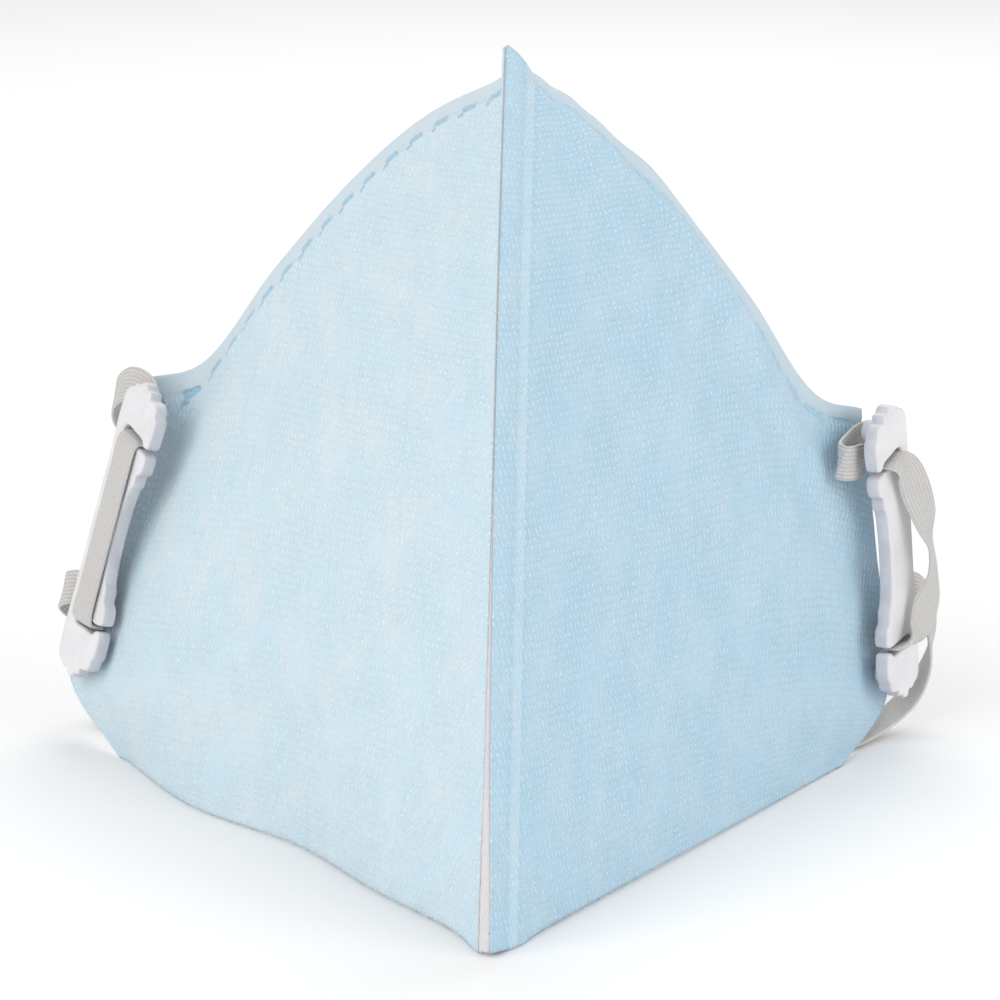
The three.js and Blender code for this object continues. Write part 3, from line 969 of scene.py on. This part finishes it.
    def thicken(self, made: bpy.types.Object, top_depth: np.ndarray, from_crease: np.ndarray) -> None:
        """Gives the panel its wall, thin on the fin, beside it and along the weld.

        Args:
            made: the panel's outer face.
            top_depth: each point's distance from the top edge.
            from_crease: each point's distance from the fin's foot, negative on the fin.
        """
        thin = self.flange_wall / self.wall
        share = 0.45 + 0.55 * rise(top_depth, self.weld_depth, self.weld_depth + 2.5 * MM)
        share = np.minimum(share, thin + (1 - thin) * rise(from_crease, 0.5 * MM, 5 * MM))
        group = made.vertex_groups.new(name="wall_share")
        for index, weight in enumerate(share.ravel()):
            group.add([index], float(weight), "REPLACE")
        wall = made.modifiers.new("wall", "SOLIDIFY")
        wall.thickness = self.wall
        wall.offset = -1.0
        wall.vertex_group = group.name
        wall.material_offset = 1
        wall.material_offset_rim = 0
        wall.use_even_offset = False

    def settle(self, made: bpy.types.Object) -> None:
        """Makes the wall part of the mesh and keeps all of it just above the floor.

        Args:
            made: the panel with its wall.
        """
        graph = bpy.context.evaluated_depsgraph_get()
        made.data = bpy.data.meshes.new_from_object(
            made.evaluated_get(graph), preserve_all_data_layers=True, depsgraph=graph
        )
        made.modifiers.clear()
        for vertex in made.data.vertices:
            vertex.co.z = max(vertex.co.z, self.clearance)


@dataclass
class SeamCore:
    """The welded inner layers between the two flanges, a little frayed along their cut edge."""

    seam: SeamLine = field(default_factory=SeamLine)
    depth: float = 2.2 * MM
    steps: int = 330
    proud: float = 0.25 * MM
    edge_half: float = 0.08 * MM

    def build(self, wardrobe: Wardrobe) -> bpy.types.Object:
        """Makes the core and dresses it."""
        v = np.linspace(0, 1, self.steps)
        half = self.edge_half + self.seam.opening(v)
        fray = np.array([noise.noise(Vector((s * 130, 2.0, 0.0))) for s in v]) * 0.22 * MM
        inner = self.seam.core / 2 * np.ones_like(v)
        sunk = np.clip(self.seam.opening(v) / MM - 0.5, -0.4, 0.0) * MM
        heights = [
            (self.seam.fin_base, inner, -1), (self.seam.fin * 0.55, inner, -1),
            (self.seam.fin - 0.3 * MM, half, -1), (self.seam.fin + self.proud, half * 0.6, -1),
            (self.seam.fin + self.proud * 1.3, half * 0, 1), (self.seam.fin + self.proud, half * 0.6, 1),
            (self.seam.fin - 0.3 * MM, half, 1), (self.seam.fin * 0.55, inner, 1),
            (self.seam.fin_base, inner, 1),
        ]
        ring = []
        for height, wide, way in heights:
            point = self.seam.fin_point(height, v, wide * way)
            if height > self.seam.fin - 1 * MM:
                point = point + self.seam.fin_way(v) * (fray + sunk)[:, None]
            ring.append(point)
        for way in (1, -1):
            back = self.seam.point(v) - self.seam.forward(v) * self.depth
            ring.append(back + np.array([way * self.seam.core / 2, 0, 0]))
        rings = np.stack(ring, axis=1)
        rings[..., 2] = np.maximum(rings[..., 2], 0)
        around = np.linspace(0, 14, rings.shape[1])
        chart = np.stack(np.broadcast_arrays(around[None], (v * 165)[:, None]), axis=-1)
        made = tube_mesh("seam_wadding", rings + np.array(FOOT), chart)
        wardrobe.dress(made, Slot.CORE, "seam_wadding")
        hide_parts("seam_core")
        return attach(made, BODY)


# ---------------------------------------------------------------- buckles and elastic


@dataclass(frozen=True)
class BuckleSeat:
    """How a strap buckle sits on its half's tab."""

    cut: PanelCut
    turn: float
    stand_top: float
    stand_foot: float
    slide: float
    along: float
    post: float

    def axes(self) -> Matrix:
        """Works out the buckle's frame.

        Returns:
            The matrix whose columns are across the plate, up it, out of it, and its middle, in metres.
        """
        sign, angle = self.cut.side.value, math.radians(self.turn)
        inward = Vector((-sign * math.sin(angle), -math.cos(angle), 0))
        away = Vector((sign * math.cos(angle), -math.sin(angle), 0))
        foot = self.cut.place(self.cut.tab_foot) + away * self.stand_foot * MM
        top = self.cut.place(self.cut.tab_top) + away * self.stand_top * MM
        up = (top - foot).normalized()
        across = (inward - up * inward.dot(up)).normalized()
        outward = across.cross(up) * -sign
        middle = foot.lerp(top, 0.5) + across * self.slide * MM + up * self.along * MM
        frame_ = Matrix((across, up, outward)).transposed().to_4x4()
        frame_.translation = middle
        return frame_


@dataclass
class StrapBuckle:
    """A moulded plate with scalloped ends, two slanting slits for the elastic and two posts behind."""

    seat: BuckleSeat
    thick: float = 2.8 * MM
    round_over: float = 0.55 * MM
    post_radius: float = 2 * MM
    post_across: float = 7.5 * MM
    post_reach: float = 23.6 * MM
    cap: tuple[tuple[float, float], ...] = (
        (0, 24.6), (0.9, 26.3), (2.4, 26.9), (3.2, 27.5), (4.6, 27.3), (5.4, 28.3), (6.8, 28.2), (7.7, 27.3),
        (8.9, 27.2), (9.3, 26.0), (10.9, 25.8), (12.2, 24.9), (12.4, 23.6), (13.1, 22.6), (13.2, 20.6),
    )
    upper_side: tuple[tuple[float, float], ...] = (
        (13.0, 18.8), (12.6, 17.5), (11.6, 17.3), (10.8, 17.6), (10.3, 18.3), (7.0, 19.1), (3.8, 19.7),
        (3.1, 19.3), (2.9, 18.2), (7.4, 17.2), (11.6, 16.4), (12.7, 15.9), (12.9, 14.6), (12.4, 12.6),
        (11.3, 11.9), (11.1, 10.0), (10.3, 9.0), (9.7, 6.4), (9.4, 3.0),
    )
    lower_side: tuple[tuple[float, float], ...] = (
        (9.4, -3.0), (9.7, -6.4), (10.3, -9.0), (11.1, -10.2), (11.3, -12.2), (12.4, -13.1), (12.9, -14.8),
        (12.8, -16.2), (11.6, -16.8), (7.4, -16.8), (2.9, -16.9), (3.1, -18.2), (3.8, -18.6), (7.0, -18.7),
        (10.3, -18.8), (10.8, -18.2), (11.6, -17.8), (12.6, -17.9), (13.0, -18.7),
    )

    def outline(self) -> list[Vector]:
        """The plate's closed outline, across and along, rounded a little at its corners."""
        foot = [(a, -b) for a, b in reversed(self.cap)]
        round_it = [(0, 0), (0, 12), *self.cap, *self.upper_side, (9.3, 0), *self.lower_side, *foot, (0, -12)]
        return [p * MM for p in smooth_points([Vector((a, b, 0)) for a, b in round_it], 3, closed=True)]

    def plate(self) -> bmesh.types.BMesh:
        """Raises the plate from its outline and rounds its rims.

        Returns:
            The plate in the buckle's own frame, its back on the tab.
        """
        shape = bmesh.new()
        ring = [shape.verts.new(point) for point in self.outline()]
        bottom = shape.faces.new(ring)
        raised = bmesh.ops.extrude_face_region(shape, geom=[bottom], use_keep_orig=True)
        lifted = [g for g in raised["geom"] if isinstance(g, bmesh.types.BMVert)]
        bmesh.ops.translate(shape, verts=lifted, vec=(0, 0, self.thick))
        bmesh.ops.recalc_face_normals(shape, faces=shape.faces)
        rims = [
            e for e in shape.edges
            if abs(e.verts[0].co.z - e.verts[1].co.z) < 1e-7 and len(e.link_faces) == 2
        ]
        bmesh.ops.bevel(
            shape, geom=rims, offset=self.round_over, offset_type="OFFSET", segments=3,
            profile=0.5, affect="EDGES", material=-1, clamp_overlap=True,
        )
        return shape

    def posts(self, shape: bmesh.types.BMesh) -> None:
        """Adds the two posts behind the plate."""
        reach = self.seat.post * MM
        for along in (-self.post_reach, self.post_reach):
            place = Matrix.Translation((self.post_across, along, -reach / 2 + 0.1 * MM))
            bmesh.ops.create_cone(
                shape, cap_ends=True, segments=24, radius1=self.post_radius, radius2=self.post_radius,
                depth=reach + 0.2 * MM, matrix=place,
            )

    def build(self, wardrobe: Wardrobe) -> bpy.types.Object:
        """Makes the buckle and dresses it."""
        shape = self.plate()
        self.posts(shape)
        top = self.thick - self.round_over
        # Share of painted shade: 1 down the side walls, 0 on the flat top.
        rim = np.array([1 - min(max((vertex.co.z - top) / self.round_over, 0), 1) for vertex in shape.verts])
        bmesh.ops.transform(shape, matrix=Matrix.Translation(FOOT) @ self.seat.axes(), verts=shape.verts)
        bmesh.ops.recalc_face_normals(shape, faces=shape.faces)
        for face in shape.faces:
            face.smooth = len(face.verts) < 10
        word = self.seat.cut.side.word
        made = add_object(f"{word}_strap_buckle", shape, smooth=False)
        store(made.data, "rim", rim)
        wardrobe.dress(made, Slot.PLASTIC, "white_plastic")
        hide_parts(f"{word}_buckle")
        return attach(made, BODY)


LEFT_SEAT = BuckleSeat(LEFT_CUT, turn=34, stand_top=2, stand_foot=2, slide=2.2, along=1, post=0.5)
RIGHT_SEAT = BuckleSeat(RIGHT_CUT, turn=29, stand_top=5, stand_foot=3, slide=-2.5, along=1.2, post=2)

LEFT_LACING: tuple[Row, ...] = (
    ((6.6, 18.0, 0.3), (0.2, 0.98, 0)), ((6.6, 18.0, 1.6), (0.2, 0.98, 0)),
    ((6.6, 17.7, 2.9), (0.15, 0.8, 0.5)), ((6.6, 16.6, 3.5), (0.05, 0.3, 0.95)),
    ((6.6, 12.0, 3.6), (0, 0, 1)), ((6.6, 4.0, 3.6), (0, 0, 1)),
    ((6.6, -4.0, 3.6), (0, 0, 1)), ((6.6, -12.0, 3.6), (0, 0, 1)),
    ((6.6, -16.4, 3.5), (0.05, -0.3, 0.95)), ((6.6, -17.5, 2.9), (0.03, -0.8, 0.5)),
    ((6.6, -17.8, 1.6), (0.03, -1, 0)), ((6.6, -17.8, 0.3), (0.03, -1, 0)),
)
RIGHT_LACING: tuple[Row, ...] = (
    ((6.6, 18.0, 0.3), (0.2, 0.98, 0)), ((6.6, 18.0, 1.8), (0.2, 0.98, 0)),
    ((6.4, 17.9, 3.6), (0.2, 0.9, 0.25)), ((5.2, 16.2, 4.9), (0.4, 0.4, 0.8)),
    ((3.4, 11.4, 5.6), (0.5, 0, 0.85)), ((1.4, 5.8, 6.2), (0.2, 0, 1)),
    ((0, 0, 6.4), (-0.4, 0, 0.9)), ((-0.1, -5.6, 6.4), (-0.2, 0, 1)),
    ((1.6, -11.0, 5.6), (0.4, -0.1, 0.9)), ((4.2, -15.6, 4.9), (0.4, -0.4, 0.8)),
    ((6.4, -17.6, 3.5), (0.08, -0.9, 0.25)), ((6.6, -17.8, 1.8), (0.03, -1, 0)),
    ((6.6, -17.8, 0.3), (0.03, -1, 0)),
)
UPPER_LOOP: tuple[Row, ...] = (
    ((-68.1, 114.0, 56.3), (-0.7, -0.45, 0.5)), ((-67.6, 114.6, 57.5), (-0.8, -0.5, 0.3)),
    ((-67.9, 115.6, 58.1), (-0.8, -0.54, 0.25)), ((-67.9, 117.3, 61.6), (-0.8, -0.54, 0.25)),
    ((-69.1, 119.3, 64.0), (-0.8, -0.5, 0.25)), ((-72.0, 121.7, 64.7), (-0.85, -0.4, 0.2)),
    ((-74.7, 123.9, 62.7), (-0.95, -0.1, 0.1)), ((-74.6, 126.7, 58.9), (-0.9, 0.4, 0)),
    ((-70.6, 129.6, 53.0), (-0.6, 0.8, 0)), ((-66.0, 131.5, 42.0), (-0.7, 0.7, -0.1)),
    ((-58.0, 132.8, 27.0), (-0.9, 0.3, -0.3)), ((-47.0, 133.6, 12.5), (-0.6, 0.1, -0.75)),
    ((-34.0, 134.0, 3.4), (-0.2, 0, -0.97)), ((-18.0, 134.5, 0.8), (0, 0, -1)),
    ((0, 134.8, 0.7), (0, 0, -1)), ((18.0, 134.5, 0.8), (0, 0, -1)),
    ((33.0, 134.0, 3.6), (0.2, 0, -0.97)), ((45.0, 133.6, 12.5), (0.6, 0.1, -0.75)),
    ((54.0, 132.8, 26.0), (0.9, 0.3, -0.3)), ((61.0, 131.8, 40.0), (0.7, 0.7, -0.1)),
    ((65.0, 130.0, 50.5), (0.7, 0.7, 0)), ((66.6, 126.9, 55.0), (1, 0.1, 0)),
    ((65.3, 123.5, 56.4), (0.9, -0.4, 0)), ((62.5, 120.4, 56.6), (0.87, -0.48, 0)),
    ((60.3, 117.0, 55.6), (0.87, -0.48, 0)), ((58.7, 113.1, 54.8), (0.9, -0.3, 0)),
    ((59.0, 111.2, 54.3), (0.2, 1, 0)), ((60.8, 112.1, 54.1), (-0.8, 0.6, 0)),
    ((62.2, 114.8, 53.8), (-0.87, 0.48, 0)), ((63.6, 117.6, 53.5), (-0.87, 0.48, 0.15)),
)
LOWER_LOOP: tuple[Row, ...] = (
    ((-77.0, 111.7, 21.3), (-0.75, -0.5, 0.4)), ((-77.4, 113.2, 21.7), (-0.8, -0.54, 0.25)),
    ((-78.7, 115.8, 23.3), (-0.8, -0.54, 0.25)), ((-80.4, 118.9, 26.0), (-0.8, -0.54, 0.25)),
    ((-84.1, 120.3, 25.9), (-0.9, -0.3, 0.2)), ((-84.6, 123.2, 23.7), (-0.9, 0.4, 0.1)),
    ((-81.2, 125.8, 19.0), (-0.8, 0.5, 0)), ((-79.4, 124.6, 11.5), (-0.8, 0.5, -0.2)),
    ((-76.0, 120.8, 5.0), (-0.6, 0.5, -0.6)), ((-70.0, 114.6, 1.6), (-0.2, 0.2, -0.95)),
    ((-61.5, 106.6, 0.8), (0, 0, -1)), ((-49.5, 96.6, 0.7), (0, 0, -1)),
    ((-34.5, 86.8, 0.7), (0, 0, -1)), ((-18.0, 80.6, 0.7), (0, 0, -1)),
    ((-1.0, 78.6, 0.7), (0, 0, -1)), ((16.0, 80.8, 0.7), (0, 0, -1)),
    ((32.0, 87.2, 0.7), (0, 0, -1)), ((45.0, 96.4, 0.7), (0, 0, -1)),
    ((55.5, 106.6, 0.7), (0, 0, -1)), ((62.6, 114.2, 0.9), (0.1, 0.1, -0.98)),
    ((68.4, 120.4, 2.4), (0.5, 0.4, -0.75)), ((73.6, 124.8, 6.0), (0.75, 0.5, -0.5)),
    ((76.8, 127.8, 11.2), (0.9, 0.2, -0.2)), ((77.9, 129.2, 17.4), (0.95, -0.25, 0)),
    ((76.9, 129.4, 23.4), (0.9, -0.4, 0.1)), ((73.7, 127.8, 26.4), (0.87, -0.48, 0.1)),
    ((71.0, 124.9, 24.0), (0.87, -0.48, 0.05)), ((69.3, 122.0, 20.5), (0.87, -0.48, 0.05)),
    ((68.3, 120.0, 18.3), (0.8, -0.45, 0.3)),
)


@dataclass
class ElasticBand:
    """A flat elastic band along a route: points, each with the way its flat side faces there."""

    name: str
    node: str
    route: tuple[Row, ...]
    seat: BuckleSeat | None = None
    free: bool = False
    with_pieces: tuple[str, ...] = ()
    width: float = 6.5 * MM
    thick: float = 0.9 * MM
    per_span: int = 10
    around: int = 20

    def run(self) -> tuple[np.ndarray, np.ndarray]:
        """Follows the route.

        Returns:
            The band's middle line in the part's frame, and the way it faces at each point.
        """
        points = [Vector(at) * MM for at, _ in self.route]
        faces = [Vector(face) for _, face in self.route]
        if self.seat is not None:
            axes = self.seat.axes()
            points = [axes @ point for point in points]
            faces = [axes.to_3x3() @ face for face in faces]
        line = np.array(smooth_points(points, self.per_span))
        facing = np.array(smooth_points(faces, self.per_span))
        return line + np.array(FOOT), facing

    def section(self) -> np.ndarray:
        """The band's section: across it and through it, with full rounded edges."""
        turns = np.linspace(0, 2 * math.pi, self.around, endpoint=False) + math.pi / self.around
        across = np.sign(np.cos(turns)) * np.abs(np.cos(turns)) ** 0.35 * self.width / 2
        through = np.sign(np.sin(turns)) * np.abs(np.sin(turns)) ** 0.6 * self.thick / 2
        return np.stack([across, through], axis=-1)

    def build(self, wardrobe: Wardrobe) -> bpy.types.Object:
        """Makes the band and dresses it.

        Args:
            wardrobe: the finishes.

        Returns:
            The band.
        """
        line, facing = self.run()
        tangent = unit(np.gradient(line, axis=0))
        across = unit(np.cross(facing, tangent))
        through = np.cross(tangent, across)
        section = self.section()
        rings = (
            line[:, None] + across[:, None] * section[None, :, :1] + through[:, None] * section[None, :, 1:]
        )
        rings[..., 2] = np.maximum(rings[..., 2], 0.01 * MM)
        steps = np.linalg.norm(np.diff(line, axis=0), axis=1)
        along = np.concatenate([[0.0], np.cumsum(steps)])
        chart = np.stack(
            np.broadcast_arrays(section[None, :, 0] / MM, along[:, None] / MM), axis=-1
        )
        made = tube_mesh(self.name, rings, chart)
        wardrobe.dress(made, Slot.ELASTIC, "grey_elastic")
        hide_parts(self.node)
        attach(made, BODY)
        return made


# ---------------------------------------------------------------- the studio


@dataclass
class Camera:
    """The camera: where it looks, from how high and how far round, in metres and degrees."""

    target: tuple[float, float, float] = (0.00284, -0.02548, 0.06523)
    elevation: float = 13.96
    azimuth: float = 0.94
    roll: float = 0.7
    distance: float = 0.7
    lens: float = 153.06
    sensor: float = 36.0

    def build(self) -> bpy.types.Object:
        """Makes the camera and gives it to the scene."""
        up_angle, round_angle, roll = (math.radians(x) for x in (self.elevation, self.azimuth, self.roll))
        right = Vector((math.cos(round_angle), math.sin(round_angle), 0))
        level = Vector((-math.sin(round_angle), math.cos(round_angle), 0))
        look = level * math.cos(up_angle) - Vector((0, 0, math.sin(up_angle)))
        up = right.cross(look)
        tilted = right * math.cos(roll) + up * math.sin(roll)
        data = bpy.data.cameras.new("camera")
        data.lens, data.sensor_width = self.lens, self.sensor
        data.clip_start, data.clip_end = 0.01, 20.0
        made = bpy.data.objects.new("camera", data)
        bpy.context.scene.collection.objects.link(made)
        axes = Matrix((tilted, tilted.cross(look), -look)).transposed().to_4x4()
        axes.translation = Vector(self.target) - look * self.distance
        made.matrix_world = axes
        bpy.context.scene.camera = made
        return made


@dataclass
class Studio:
    """A pale floor and soft light from all round, stronger from the left and the right."""

    floor_size: float = 6.0
    floor_colour: tuple = (0.95, 0.95, 0.95, 1)
    sky: tuple = (1.0, 1.0, 1.0, 1)
    sky_strength: float = 0.52

    def build(self) -> None:
        """Makes the floor, the lamps and the sky."""
        shape = bmesh.new()
        bmesh.ops.create_grid(shape, x_segments=1, y_segments=1, size=self.floor_size)
        floor = add_object("floor", shape, smooth=False)
        paint = bpy.data.materials.new("pale_floor")
        paint.use_nodes = True
        shader = paint.node_tree.nodes["Principled BSDF"]
        shader.inputs["Base Color"].default_value = self.floor_colour
        shader.inputs["Roughness"].default_value = 0.9
        shader.inputs["Specular IOR Level"].default_value = 0.1
        floor.data.materials.append(paint)
        self.lamp("key", (-0.85, -0.85, 0.85), 1.4, 12.0)
        self.lamp("fill", (1.1, -0.55, 0.6), 1.0, 6.6)
        self.lamp("back", (0.1, 0.9, 1.0), 0.8, 6.0)
        world = bpy.data.worlds.new("sky")
        world.use_nodes = True
        ground = world.node_tree.nodes["Background"]
        ground.inputs["Color"].default_value = self.sky
        ground.inputs["Strength"].default_value = self.sky_strength
        bpy.context.scene.world = world
        bpy.context.scene.view_settings.view_transform = "Standard"

    def lamp(self, name: str, place: tuple[float, float, float], size: float, power: float) -> None:
        """Adds a soft square lamp aimed at the mask.

        Args:
            name: the lamp's name.
            place: where it hangs.
            size: its side.
            power: its strength in watts.
        """
        data = bpy.data.lights.new(name, "AREA")
        data.size, data.energy = size, power
        made = bpy.data.objects.new(name, data)
        made.location = place
        away = Vector(place) - Vector((0, 0, 0.06))
        made.rotation_euler = away.to_track_quat("Z", "Y").to_euler()
        bpy.context.scene.collection.objects.link(made)


def main() -> None:
    """Builds the camera, the elastic, the cloth and the buckles."""
    logging.basicConfig(level=logging.INFO, format="%(name)s: %(message)s")
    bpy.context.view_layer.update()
    Camera().build()
    wardrobe = Wardrobe()
    wardrobe.build()
    parts: list[tuple[str, Callable[[Wardrobe], bpy.types.Object]]] = [
        ("left lacing", ElasticBand("left_lacing_band", "left_lacing", LEFT_LACING, LEFT_SEAT).build),
        ("right lacing", ElasticBand("right_lacing_band", "right_lacing", RIGHT_LACING, RIGHT_SEAT).build),
        ("upper head loop", ElasticBand(
            "upper_head_loop", "upper_strap", UPPER_LOOP, free=True,
            with_pieces=("left_lacing_band", "right_lacing_band"),
        ).build),
        ("lower head loop", ElasticBand("lower_head_loop", "lower_strap", LOWER_LOOP, free=True).build),
        ("left panel", Panel(LEFT_CUT, (0.125, 0.168), 0.0148, chin_fill=3.6 * MM).build),
        ("right panel", Panel(RIGHT_CUT, (0.12, 0.168), 0.0138, weld_depth=2.9 * MM, roll=1.2 * MM).build),
        ("seam core", SeamCore().build),
        ("left buckle", StrapBuckle(LEFT_SEAT).build),
        ("right buckle", StrapBuckle(RIGHT_SEAT).build),
    ]
    for name, build in parts:
        made = build(wardrobe)
        LOG.info("%s: %s, %d faces", name, made.name, len(made.data.polygons))
    Studio().build()


if __name__ == "__main__":
    main()
